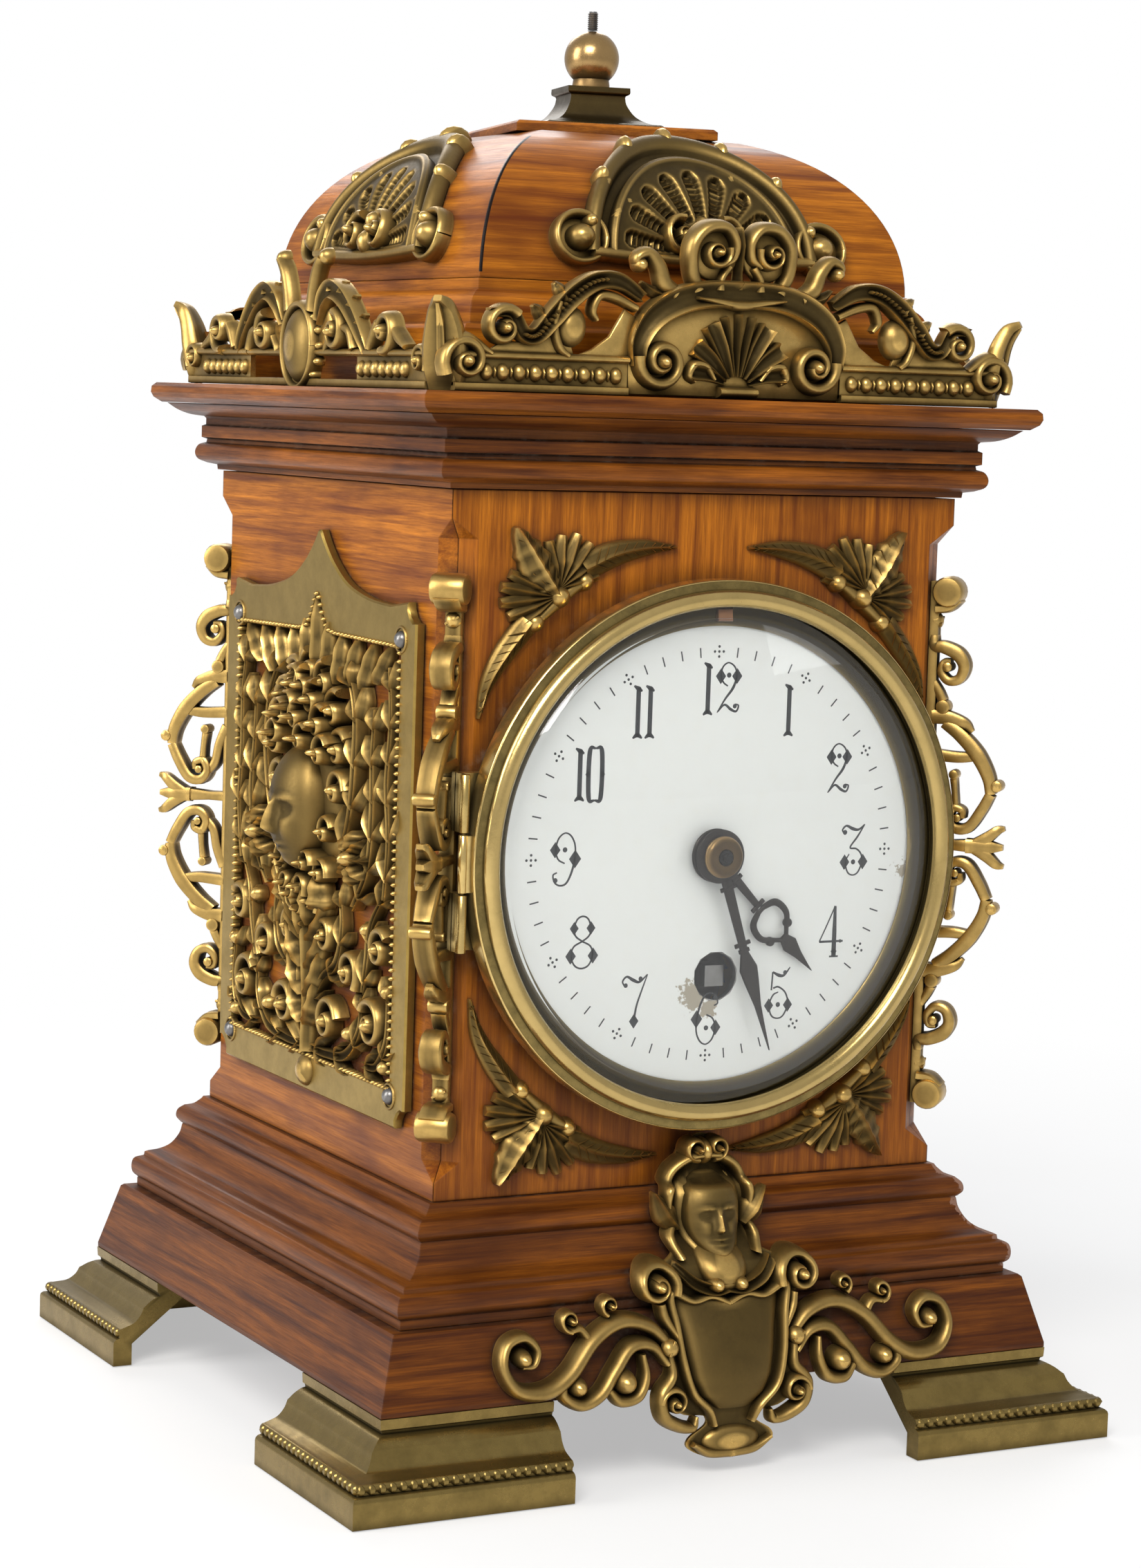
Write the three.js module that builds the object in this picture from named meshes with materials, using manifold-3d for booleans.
// Bracket clock in a walnut case with cast brass mounts: three.js model, millimetres, +Z up.
// The clock stands on z = 0 with the middle of its square plan at x = y = 0; the dial faces -Y.
import {
  BufferAttribute, BufferGeometry, BoxGeometry, CylinderGeometry, ExtrudeGeometry, Group,
  LatheGeometry, Mesh, MeshStandardMaterial, Path, Shape, SplineCurve, Vector2,
} from 'three';
import { mergeVertices } from 'three/addons/utils/BufferGeometryUtils.js';
import Module from 'manifold-3d';

const wasm = await Module();
wasm.setup();

// ---------------------------------------------------------------- driving dimensions
// Case. Every "reach" is how far a moulding stands out from the body's faces.
const BODY_WIDTH = 98;            // square plan of the body
const BOARD_THICKNESS = 6;
const MITRE_GAP = 0.1;            // glue line between two mitred boards
const STACK_GAP = 0.1;            // glue line between two stacked wooden members
const SEAT_GAP = 0.3;             // between a mount and what it lies on
const ROUND_SIDES = 26;           // facets of the dial, its pan, its bezel and its glass
const FOOT_HEIGHT = 15;
const FOOT_REACH = 24.4;
const FOOT_ARM = 40;
const FOOT_WALL = 3.6;
const SKIRT_HEIGHT = 12.8;
const SKIRT_BOTTOM_REACH = 15.9;
const SKIRT_TOP_REACH = 12.7;
const BASE_MOULD_HEIGHT = 18.5;
const BASE_ROLL_REACH = 11.1;
const BASE_BEAD_REACH = 4.4;
const BODY_HEIGHT = 118.6;
const CHAMFER = 4.9;              // leg of the stop chamfer on the four corners
const CHAMFER_BOTTOM_STOP = 6.5;  // from the body's foot to the full chamfer
const CHAMFER_TOP_STOP = 8.2;
const CORNICE_HEIGHT = 12.2;
const CORNICE_BEAD_REACH = 4.1;
const SLAB_THICKNESS = 3.7;
const SLAB_REACH = 10.6;
const DOME_PLINTH_HALF = 46.5;
const DOME_PLINTH_HEIGHT = 18.7;
const DOME_HALF = 41.6;
const DOME_CURVE_HEIGHT = 28;     // full height of the vault's curve
const DOME_HEIGHT = 26.5;         // where the cap cuts it off
const DOME_STEPS = 6;
const CAP_HALF = 18.3;
const CAP_THICKNESS = 2;
const TOP_TURN = -0.21;           // the cap and finial sit turned on the dome, radians
const PEDESTAL_HALF = 10.7;
const PEDESTAL_TOP_HALF = 5.7;
const PEDESTAL_HEIGHT = 7.4;
const BALL_RADIUS = 4.9;
const STUD_RADIUS = 0.95;
const STUD_LENGTH = 3.4;          // above the ball

// Dial and bezel. A "stand" is measured outwards from the front of the body.
const DIAL_DROP = 1.8;            // dial centre below the middle of the body
const DIAL_RADIUS = 39.4;
const DIAL_THICKNESS = 1.6;
const DIAL_STAND = 3.4;
const SIGHT_RADIUS = 38.9;        // visible part of the dial
const PAN_FLANGE_RADIUS = 45.4;
const PAN_FLANGE_THICKNESS = 3;
const PAN_WALL = 0.6;
const PAN_DEPTH = 8;              // behind the front of the body
const RUN_GAP = 0.3;              // running clearance round a moving piece
const BEZEL_RADIUS = 47;
const BEZEL_WALL_HEIGHT = 4;
const BEZEL_WALL = 1.2;
const BEZEL_ROLL_RADIUS = 1.5;    // half-round ring on the bezel's front
const BEZEL_ROLL_CENTRE = 43.85;
const GLASS_THICKNESS = 1.7;
const GLASS_RISE = 4.8;           // crown of the domed glass
const GLASS_BEVEL = 2.6;
const HINGE_RADIUS = 0.85;        // bezel hinge barrel
const HINGE_LENGTH = 29;
const HINGE_OFFSET = 1.0;         // barrel axis outside the bezel's wall
const ARBOR_X = 1.5;              // winding arbor, to the right of the dial centre
const WINDING_HOLE_RADIUS = 4.3;
const HAND_HOLE_RADIUS = 3.2;
const HAND_THICKNESS = 0.5;
const HAND_BOSS_RADIUS = 4.6;
const HOUR_HAND_LENGTH = 28.5;
const MINUTE_HAND_LENGTH = 35.5;
const HOUR_HAND_TURN = 2.377;     // radians clockwise from twelve, as the clock stands
const MINUTE_HAND_TURN = 2.827;
const COLLET_RADIUS = 3.6;

// Movement. Depths run backwards from the front of the body.
const PLATE_RADIUS = 39.4;
const PLATE_THICKNESS = 1.5;
const PLATE_DEPTH = 5.3;          // front face of the front plate
const PLATE_SPACING = 27;
const PILLAR_RADIUS = 2;
const PILLAR_CIRCLE = 33;
const ARBOR_RADIUS = 0.8;
const PIVOT_RADIUS = 0.5;
const PIVOT_GAP = 0.15;
const WHEEL_THICKNESS = 1;
const GREAT_TEETH = 48, CENTRE_PINION = 8, GREAT_MODULE = 0.75;
const CENTRE_TEETH = 36, THIRD_PINION = 6, CENTRE_MODULE = 0.65;
const THIRD_TEETH = 42, FOURTH_PINION = 6, THIRD_MODULE = 0.5;
const FOURTH_TEETH = 30, ESCAPE_PINION = 6, FOURTH_MODULE = 0.5;
const ESCAPE_TEETH = 30, ESCAPE_RADIUS = 8;
const CANNON_TEETH = 8, MINUTE_TEETH = 24, MINUTE_PINION = 6, HOUR_TEETH = 24;
const MOTION_MODULE = 0.5;
const RATCHET_TEETH = 16, RATCHET_RADIUS = 6.6;
const BARREL_RADIUS = 16.2;
const BARREL_LENGTH = 13;
const WINDING_SQUARE = 3.6;
const PENDULUM_LENGTH = 81;
const BOB_RADIUS = 8.5;
const BOB_THICKNESS = 5;

// Mounts
const GALLERY_REACH = 6.5;        // outer face of the gallery beyond the body's faces
const GALLERY_THICKNESS = 1.6;
const GALLERY_RAIL = 6.7;
const ACROTERION_HEIGHT = 15.6;
const SHELL_WIDTH = 45;
const SHELL_THICKNESS = 2.4;
const SPANDREL_THICKNESS = 2.4;
const SPANDREL_TOP_GAP = 5.1;     // below the cornice
const SPANDREL_FOOT_GAP = 1.5;    // above the base moulding
const SPANDREL_BEZEL_GAP = 1.5;
const SPANDREL_DRAWN = 56;        // height above the dial centre that its outline is drawn for
const FRET_WIDTH = 85.6;
const FRET_BOTTOM = 10.3;         // above the foot of the body
const FRET_PEAK = 10.4;           // above its shoulders
const FRET_TOP_GAP = 8.9;         // from its peak to the cornice
const FRET_DRAWN = 89;            // height to its shoulders that its openings are drawn for
const FRET_PLATE = 1.2;
const FRET_RELIEF = 3;
const MOUNT_END_GAP = 3.8;        // from its lower end to the chamfer's stop
const MOUNT_DRAWN = 47.2;         // half length that its outline is drawn for
const MOUNT_STRIP = 1.3;
const MOUNT_WIDTH = 2.9;
const MOUNT_ROLL_RADIUS = 2.75;
const MOUNT_ROLL_WIDTH = 6.4;
const CARTOUCHE_THICKNESS = 1.8;
const CREST_GAP = 1;              // below the bezel
const CREST_DRAWN = 55.8;         // height above the table that the cartouche is drawn for

// Back door
const DOOR_WIDTH = 66;
const DOOR_HEIGHT = 92;
const DOOR_THICKNESS = 4;
const DOOR_GAP = 0.5;
const DOOR_HINGE_RADIUS = 1.3;
const DOOR_HINGE_LENGTH = 70;
const KNOB_RADIUS = 3.5;

// ---------------------------------------------------------------- levels and half widths
const HALF = BODY_WIDTH / 2;
const SKIRT_TOP = FOOT_HEIGHT + SKIRT_HEIGHT;
const BODY_BOTTOM = SKIRT_TOP + BASE_MOULD_HEIGHT;
const BODY_TOP = BODY_BOTTOM + BODY_HEIGHT;
const DIAL_HEIGHT = BODY_BOTTOM + BODY_HEIGHT / 2 - DIAL_DROP;
const SLAB_BOTTOM = BODY_TOP + CORNICE_HEIGHT;
const SLAB_TOP = SLAB_BOTTOM + SLAB_THICKNESS;
const DOME_BOTTOM = SLAB_TOP + DOME_PLINTH_HEIGHT;
const DOME_TOP = DOME_BOTTOM + DOME_HEIGHT;
const CAP_TOP = DOME_TOP + CAP_THICKNESS;
const PEDESTAL_TOP = CAP_TOP + PEDESTAL_HEIGHT;
const INNER_HALF = HALF - BOARD_THICKNESS;
const MOUNT_HALF_LENGTH = DIAL_HEIGHT - BODY_BOTTOM - CHAMFER_BOTTOM_STOP - MOUNT_END_GAP;
const FRET_HEIGHT = BODY_HEIGHT - FRET_BOTTOM - FRET_PEAK - FRET_TOP_GAP;
const CREST_TOP = DIAL_HEIGHT - BEZEL_RADIUS - CREST_GAP;
const CHAMFER_DISTANCE = HALF * Math.SQRT2 - CHAMFER / Math.SQRT2;

// ---------------------------------------------------------------- materials
const finish = (color, roughness, metalness) => new MeshStandardMaterial({ color, roughness, metalness });
const walnut = () => finish(0x9a5426, 0.45, 0);
const brass = () => finish(0x8a7440, 0.4, 0.9);
const polishedBrass = () => finish(0xb8964e, 0.25, 0.95);
const bronze = () => finish(0x4a3a26, 0.5, 0.8);
const steel = () => finish(0x6b6c6e, 0.35, 0.9);
const bluedSteel = () => finish(0x2a2220, 0.45, 0.7);
const enamel = () => finish(0xeeebe2, 0.3, 0);
const clearGlass = () => {
  const glass = finish(0xf2f6f4, 0.05, 0);
  glass.transparent = true;
  glass.opacity = 0.3;
  return glass;
};

// ---------------------------------------------------------------- solids
// A closed geometry as a manifold: only positions are kept, shared and free of empty triangles.
function solid(source) {
  const bare = source.index ? source.toNonIndexed() : source.clone();
  bare.deleteAttribute('normal');
  bare.deleteAttribute('uv');
  const merged = mergeVertices(bare, 1e-4);
  const kept = [];
  const index = merged.index.array;
  for (let i = 0; i < index.length; i += 3) {
    const [a, b, c] = [index[i], index[i + 1], index[i + 2]];
    if (a !== b && b !== c && c !== a) kept.push(a, b, c);
  }
  return new wasm.Manifold(new wasm.Mesh({
    numProp: 3,
    vertProperties: new Float32Array(merged.attributes.position.array),
    triVerts: new Uint32Array(kept),
  }));
}

const join = (...parts) => parts.reduce((sum, part) => sum.add(part));
const cut = (body, ...tools) => tools.reduce((rest, tool) => rest.subtract(tool), body);

function part(name, body, material) {
  const { vertProperties, triVerts } = body.getMesh();
  const geometry = new BufferGeometry();
  geometry.setAttribute('position', new BufferAttribute(new Float32Array(vertProperties), 3));
  geometry.setIndex(new BufferAttribute(new Uint32Array(triVerts), 1));
  geometry.computeVertexNormals();
  const mesh = new Mesh(geometry, material);
  mesh.name = name;
  return mesh;
}

// Points in counterclockwise order.
function ordered(points) {
  const area = points.reduce((sum, [x, y], i) => {
    const [nextX, nextY] = points[(i + 1) % points.length];
    return sum + x * nextY - nextX * y;
  }, 0);
  return area < 0 ? [...points].reverse() : points;
}

const toVectors = (points) => points.map(([x, y]) => new Vector2(x, y));

// A flat shape, with any openings given as further lists of points.
function outline(points, ...openings) {
  const shape = new Shape(toVectors(ordered(points)));
  openings.forEach((opening) => shape.holes.push(new Path(toVectors(opening))));
  return shape;
}

// A section for turning, closed if it is a ring's.
function closed(section) {
  const points = ordered(section);
  const [first, last] = [points[0], points[points.length - 1]];
  const open = first[0] > 0 && (first[0] !== last[0] || first[1] !== last[1]);
  return open ? [...points, first] : points;
}

const mirrored = (points) => points.map(([x, y]) => [-x, y]).reverse();
// The points with their heights scaled.
const stretched = (points, factor) => points.map(([x, y]) => [x, y * factor]);
const bothSides = (points) => [...points, ...mirrored(points)];

// A flat shape given thickness along z, from z = start.
function plate(shape, thickness, start = 0, curveSegments = 12) {
  const geometry = new ExtrudeGeometry(shape, { depth: thickness, bevelEnabled: false, curveSegments });
  return geometry.translate(0, 0, start);
}

function circle(radius, sides, x = 0, y = 0) {
  return Array.from({ length: sides }, (_, i) => {
    const angle = (2 * Math.PI * (i + 0.5)) / sides;
    return [x + radius * Math.cos(angle), y + radius * Math.sin(angle)];
  });
}
const disc = (radius, sides = 12, x = 0, y = 0) => outline(circle(radius, sides, x, y));

const round = (radius, thickness, start, sides = 12, x = 0, y = 0) =>
  solid(plate(disc(radius, sides, x, y), thickness, start));

const block = (width, height, depth, x, y, z) =>
  solid(new BoxGeometry(width, height, depth).translate(x, y, z));

// A square frame or solid whose section is turned about the vertical axis in four facets, which
// mitres its corners. Each point is [half width, height].
function mitred(section) {
  const profile = closed(section).map(([half, z]) => new Vector2(half * Math.SQRT2, z));
  return solid(new LatheGeometry(profile, 4, Math.PI / 4).rotateX(Math.PI / 2));
}

// A turned piece about the local z axis. Each point is [radius, z].
function turned(section, segments = 32) {
  const profile = closed(section).map(([radius, z]) => new Vector2(radius, z));
  return solid(new LatheGeometry(profile, segments).rotateX(Math.PI / 2));
}

// A flat scroll that follows a smooth line, its width running from one end's value to the other's.
function scroll(points, startWidth, endWidth, steps = 10) {
  const line = new SplineCurve(points.map(([x, y]) => new Vector2(x, y))).getPoints(steps);
  const sides = [[], []];
  line.forEach((point, i) => {
    const before = line[Math.max(i - 1, 0)];
    const after = line[Math.min(i + 1, steps)];
    const normal = after.clone().sub(before).normalize();
    const half = (startWidth + ((endWidth - startWidth) * i) / steps) / 2;
    sides[0].push([point.x - normal.y * half, point.y + normal.x * half]);
    sides[1].push([point.x + normal.y * half, point.y - normal.x * half]);
  });
  return outline([...sides[0], ...sides[1].reverse()]);
}

const discPair = (radius, thickness, start, sides, x, y) =>
  join(round(radius, thickness, start, sides, x, y), round(radius, thickness, start, sides, -x, y));

// A frame on one of the case's sides: local x runs along the side, y up and z outwards.
function wall(turn, distance, height = 0) {
  const outer = new Group();
  outer.rotation.z = turn;
  const inner = new Group();
  inner.position.set(0, -distance, height);
  inner.rotation.x = Math.PI / 2;
  outer.add(inner);
  return { outer, inner };
}

const clock = new Group();
function mount(turn, distance, height, ...meshes) {
  const { outer, inner } = wall(turn, distance, height);
  inner.add(...meshes);
  clock.add(outer);
}
const FRONT = 0, RIGHT = Math.PI / 2, BACK = Math.PI, LEFT = -Math.PI / 2;
const CORNERS = { front_left: -Math.PI / 4, front_right: Math.PI / 4,
  back_right: (3 * Math.PI) / 4, back_left: (-3 * Math.PI) / 4 };

// ---------------------------------------------------------------- wooden case
function plinthSkirt() {
  const bottom = HALF + SKIRT_BOTTOM_REACH;
  const top = HALF + SKIRT_TOP_REACH;
  const low = FOOT_HEIGHT + STACK_GAP;
  return mitred([[0, low], [bottom, low], [bottom, low + 0.8], [top, SKIRT_TOP - 0.4],
    [top - 0.5, SKIRT_TOP], [0, SKIRT_TOP]]);
}

// Two-tier ogee frame: a roll and cove below, a bead and cyma above.
function baseMoulding() {
  const low = SKIRT_TOP + STACK_GAP;
  const roll = HALF + BASE_ROLL_REACH;
  const bead = HALF + BASE_BEAD_REACH;
  return mitred([
    [INNER_HALF, low], [roll - 0.8, low], [roll - 0.8, low + 1.6], [roll - 0.1, low + 2.4],
    [roll + 0.1, low + 3.8], [roll - 0.3, low + 5.2], [roll - 1.6, low + 5.8],
    [roll - 1.8, low + 6.6], [roll - 3.6, low + 7.2], [roll - 5.6, low + 8.6],
    [roll - 6.8, low + 10.8], [roll - 7.2, low + 12.6], [bead + 0.4, low + 13.2],
    [bead - 0.2, low + 15.2], [bead, low + 16.4], [bead - 1.0, low + 17.6],
    [HALF + 0.9, low + 17.9], [HALF + 0.9, BODY_BOTTOM], [INNER_HALF, BODY_BOTTOM],
    [INNER_HALF, low],
  ]);
}

// What a stop chamfer takes off a corner, in the frame of the corner.
function chamferTool(turn) {
  const depth = CHAMFER;
  const low = BODY_BOTTOM + CHAMFER_BOTTOM_STOP;
  const high = BODY_TOP - CHAMFER_TOP_STOP;
  const section = outline([[0, low], [depth, low - depth], [depth, high + depth], [0, high]]);
  const tool = plate(section, 4 * CHAMFER, -2 * CHAMFER).rotateX(Math.PI / 2);
  return solid(tool.rotateZ(-Math.PI / 2).translate(0, -CHAMFER_DISTANCE, 0).rotateZ(turn));
}
const chamfers = Object.values(CORNERS).map(chamferTool);

// Boards are shaped where they stand, so the chamfers run on round each corner.
function standingBoard(turn) {
  const plan = [[-HALF, -HALF], [HALF, -HALF], [INNER_HALF, -INNER_HALF], [-INNER_HALF, -INNER_HALF]];
  const inset = MITRE_GAP / 2;
  const trimmed = plan.map(([x, y]) => [x - Math.sign(x) * inset * Math.SQRT2, y]);
  const board = plate(outline(trimmed), BODY_HEIGHT - 2 * STACK_GAP, BODY_BOTTOM + STACK_GAP);
  return cut(solid(board.rotateZ(turn)), ...chamfers);
}

function frontBoard() {
  const hole = new CylinderGeometry(1, 1, 4 * BOARD_THICKNESS, ROUND_SIDES);
  const radius = SIGHT_RADIUS + 2.2;
  hole.scale(radius, 1, radius).translate(0, -HALF, DIAL_HEIGHT);
  return cut(standingBoard(FRONT), solid(hole));
}

const DOOR_BOTTOM = (BODY_BOTTOM + BODY_TOP - DOOR_HEIGHT) / 2;
function backBoard() {
  const width = DOOR_WIDTH + 2 * DOOR_GAP;
  const height = DOOR_HEIGHT + 2 * DOOR_GAP;
  const opening = new BoxGeometry(width, 4 * BOARD_THICKNESS, height);
  opening.translate(0, HALF, DOOR_BOTTOM + DOOR_HEIGHT / 2);
  return cut(standingBoard(BACK), solid(opening));
}

function corniceMoulding() {
  const low = BODY_TOP + STACK_GAP;
  const high = SLAB_BOTTOM;
  const bead = HALF + CORNICE_BEAD_REACH;
  return mitred([
    [INNER_HALF, low], [HALF + 0.8, low], [HALF + 1.0, low + 1.2], [bead - 0.8, low + 1.6],
    [bead, low + 2.8], [bead - 0.2, low + 4.2], [bead - 1.2, low + 4.9], [bead - 1.6, low + 5.6],
    [bead - 0.9, low + 6.2], [bead - 0.9, low + 8.2], [bead - 1.5, low + 8.4],
    [bead - 1.5, low + 10], [bead + 1.2, low + 10.5], [HALF + SLAB_REACH - 3, high - 0.9],
    [HALF + SLAB_REACH - 2.4, high], [INNER_HALF, high], [INNER_HALF, low],
  ]);
}

function topBoard() {
  const low = SLAB_BOTTOM + STACK_GAP;
  const edge = HALF + SLAB_REACH;
  return mitred([[0, low], [edge - 1.6, low], [edge - 0.4, low + 0.9], [edge, low + 1.8],
    [edge - 0.1, SLAB_TOP - 0.7], [edge - 0.8, SLAB_TOP], [0, SLAB_TOP]]);
}

function domePlinth() {
  const low = SLAB_TOP + STACK_GAP;
  const outer = DOME_PLINTH_HALF;
  return mitred([[0, low], [outer, low], [outer, low + 10.6], [outer - 1.8, low + 11.2],
    [outer - 1.8, low + 13.6], [outer - 2.6, low + 15.4], [outer - 4.4, low + 16.8],
    [outer - 4.6, DOME_BOTTOM], [0, DOME_BOTTOM]]);
}

// Half width of the four-sided vault at a height above its springing.
const domeHalf = (rise) => DOME_HALF * Math.cbrt(1 - (rise / DOME_CURVE_HEIGHT) ** 2);
function domeCurve(offset) {
  const points = [];
  for (let i = 0; i <= DOME_STEPS; i += 1) {
    const rise = DOME_HEIGHT * Math.sin((Math.PI * i) / (2 * DOME_STEPS));
    const half = domeHalf(rise);
    const lean = half - domeHalf(rise + 0.1);
    const length = Math.hypot(lean, 0.1);
    points.push([half + (offset * 0.1) / length, DOME_BOTTOM + rise + (offset * lean) / length]);
  }
  return points;
}
const dome = () =>
  mitred([[0, DOME_BOTTOM + STACK_GAP], [DOME_HALF, DOME_BOTTOM + STACK_GAP],
    ...domeCurve(0).slice(1), [0, DOME_TOP]]);

const domeCap = () => {
  const low = DOME_TOP + STACK_GAP;
  return mitred([[0, low], [CAP_HALF, low], [CAP_HALF, CAP_TOP - 0.5], [CAP_HALF - 0.6, CAP_TOP],
    [0, CAP_TOP]]);
};

// ---------------------------------------------------------------- finial
function finialPedestal() {
  const low = CAP_TOP + STACK_GAP;
  const neck = PEDESTAL_TOP_HALF - 0.7;
  return mitred([[0, low], [PEDESTAL_HALF, low], [PEDESTAL_HALF - 0.3, low + 0.7],
    [PEDESTAL_HALF - 2.8, low + 1.2], [neck + 1.3, low + 2.4], [neck + 0.2, low + 4.2],
    [neck, low + 5.6], [PEDESTAL_TOP_HALF, PEDESTAL_TOP - 1.1], [PEDESTAL_TOP_HALF, PEDESTAL_TOP],
    [0, PEDESTAL_TOP]]);
}

const BALL_BOTTOM = PEDESTAL_TOP + STACK_GAP;
function finialBall() {
  const centre = BALL_BOTTOM + BALL_RADIUS + 0.3;
  const neck = BALL_RADIUS * 0.62;
  const section = [[0, BALL_BOTTOM], [neck + 0.3, BALL_BOTTOM], [neck + 0.3, BALL_BOTTOM + 0.6]];
  for (let i = 0; i <= 5; i += 1) {
    const angle = -0.86 + (i * (Math.PI / 2 + 0.86)) / 5;
    section.push([BALL_RADIUS * Math.cos(angle), centre + BALL_RADIUS * Math.sin(angle)]);
  }
  section[section.length - 1][0] = 0;
  return turned(section, 12);
}
const BALL_TOP = BALL_BOTTOM + 2 * BALL_RADIUS + 0.3;
const finialStud = () =>
  turned([[0, BALL_TOP + STACK_GAP], [STUD_RADIUS, BALL_TOP + STACK_GAP],
    [STUD_RADIUS, BALL_TOP + STUD_LENGTH - 0.4], [STUD_RADIUS - 0.3, BALL_TOP + STUD_LENGTH],
    [0, BALL_TOP + STUD_LENGTH]], 10);

// ---------------------------------------------------------------- feet
// A hollow moulded bracket foot: the corner of a mitred frame.
function foot(turn) {
  const toe = HALF + FOOT_REACH;
  const top = HALF + SKIRT_BOTTOM_REACH;
  const frame = mitred([
    [toe, 0], [toe, 4.6], [toe - 1.2, 5.2], [toe - 0.9, 6.2], [toe - 1.6, 7], [toe - 2.8, 7.4],
    [toe - 4.8, 8.6], [toe - 5.8, 10.2], [top + 1.2, 11.6], [top - 0.4, 12.4],
    [top + 0.1, 13.4], [top + 0.1, FOOT_HEIGHT], [top - 6, FOOT_HEIGHT],
    [top - 6, FOOT_HEIGHT - 2.4], [toe - 5 - FOOT_WALL, 8], [toe - FOOT_WALL, 4], [toe - FOOT_WALL, 0],
    [toe, 0],
  ]);
  const square = new BoxGeometry(FOOT_ARM, FOOT_ARM, 4 * FOOT_HEIGHT);
  const centre = toe - FOOT_ARM / 2;
  square.translate(-centre, -centre, 0).rotateZ(turn + Math.PI / 4);
  return frame.intersect(solid(square));
}


// ---------------------------------------------------------------- dial, bezel and hands
// These are drawn with the dial's centre as origin and z outwards from the front of the body.
const LIP_TOP = DIAL_STAND + 0.6;
const RIM_TOP = DIAL_STAND + 1.5;
const WALL_LOW = PAN_FLANGE_THICKNESS + 0.6;
const WALL_TOP = WALL_LOW + BEZEL_WALL_HEIGHT;
const HINGE_X = -(BEZEL_RADIUS + HINGE_OFFSET);
const HINGE_STAND = WALL_LOW + BEZEL_WALL_HEIGHT / 2;
const KNUCKLE = HINGE_LENGTH / 3;
const PIN_RADIUS = 0.35;

// A round bar or tube along the local y axis.
function barrel(radius, bore, low, high, x, z, sides = 8) {
  const openings = bore ? [circle(bore, sides)] : [];
  const shape = outline(circle(radius, sides), ...openings);
  return solid(plate(shape, high - low, -high).rotateX(Math.PI / 2).translate(x, 0, z));
}

function dialPan() {
  const inner = DIAL_RADIUS + RUN_GAP;
  const outer = inner + PAN_WALL;
  const flangeLow = SEAT_GAP;
  const flangeTop = flangeLow + PAN_FLANGE_THICKNESS;
  const ring = turned([
    [SIGHT_RADIUS, DIAL_STAND + 0.3], [SIGHT_RADIUS, LIP_TOP], [inner + 1.5, RIM_TOP],
    [inner + 2.3, RIM_TOP],
    [inner + 2.3, flangeTop], [PAN_FLANGE_RADIUS, flangeTop], [PAN_FLANGE_RADIUS, flangeLow],
    [outer, flangeLow], [outer, -PAN_DEPTH], [inner, -PAN_DEPTH], [inner, DIAL_STAND + 0.3],
  ], ROUND_SIDES);
  const catchTab = block(3.1, 2.2, 1.4, 0, inner + 1, RIM_TOP - 0.3);
  const arms = [-1, 1].map((side) => {
    const middle = side * (KNUCKLE / 2 + 0.3 + KNUCKLE / 2);
    const arm = outline([[HINGE_X + 5.5, 1.2], [HINGE_X + 5.5, 2.9], [HINGE_X + 0.5, 2.9],
      [HINGE_X + 0.5, 5], [HINGE_X - 0.3, 5], [HINGE_X - 0.3, 1.2]]);
    const low = middle - KNUCKLE / 2;
    const leaf = solid(plate(arm, KNUCKLE, -low - KNUCKLE).rotateX(Math.PI / 2));
    return join(leaf, barrel(HINGE_RADIUS, 0, low, low + KNUCKLE, HINGE_X, HINGE_STAND));
  });
  const pin = barrel(PIN_RADIUS, 0, -KNUCKLE, KNUCKLE, HINGE_X, HINGE_STAND);
  return join(ring, catchTab, ...arms, pin);
}

function dialPlate() {
  const face = outline(circle(DIAL_RADIUS, ROUND_SIDES), circle(HAND_HOLE_RADIUS, 10),
    circle(WINDING_HOLE_RADIUS, 12, ARBOR_X, WINDING_Y));
  return solid(plate(face, DIAL_THICKNESS, DIAL_STAND - DIAL_THICKNESS));
}

function bezel() {
  const rollInner = BEZEL_ROLL_CENTRE - BEZEL_ROLL_RADIUS;
  const glassEdge = rollInner + 0.85;
  const roll = [];
  for (let i = 0; i <= 4; i += 1) {
    const angle = (Math.PI * i) / 4;
    roll.push([BEZEL_ROLL_CENTRE + BEZEL_ROLL_RADIUS * Math.cos(angle),
      WALL_TOP + BEZEL_ROLL_RADIUS * Math.sin(angle)]);
  }
  const ring = turned([
    [BEZEL_RADIUS, WALL_LOW], [BEZEL_RADIUS, WALL_TOP], ...roll,
    [glassEdge, WALL_TOP - 0.6], [glassEdge, RIM_TOP + 0.05], [glassEdge - 0.6, RIM_TOP + 0.05],
    [glassEdge - 0.6, RIM_TOP - 0.4], [BEZEL_RADIUS - BEZEL_WALL, RIM_TOP - 0.4],
    [BEZEL_RADIUS - BEZEL_WALL, WALL_LOW],
  ], ROUND_SIDES);
  const half = KNUCKLE / 2;
  const tab = block(1.9, KNUCKLE, 1.7, HINGE_X + 1.1, 0, HINGE_STAND);
  const bore = barrel(PIN_RADIUS + PIVOT_GAP, 0, -half - 1, half + 1, HINGE_X, HINGE_STAND);
  return cut(join(ring, tab, barrel(HINGE_RADIUS, 0, -half, half, HINGE_X, HINGE_STAND)), bore);
}

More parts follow.
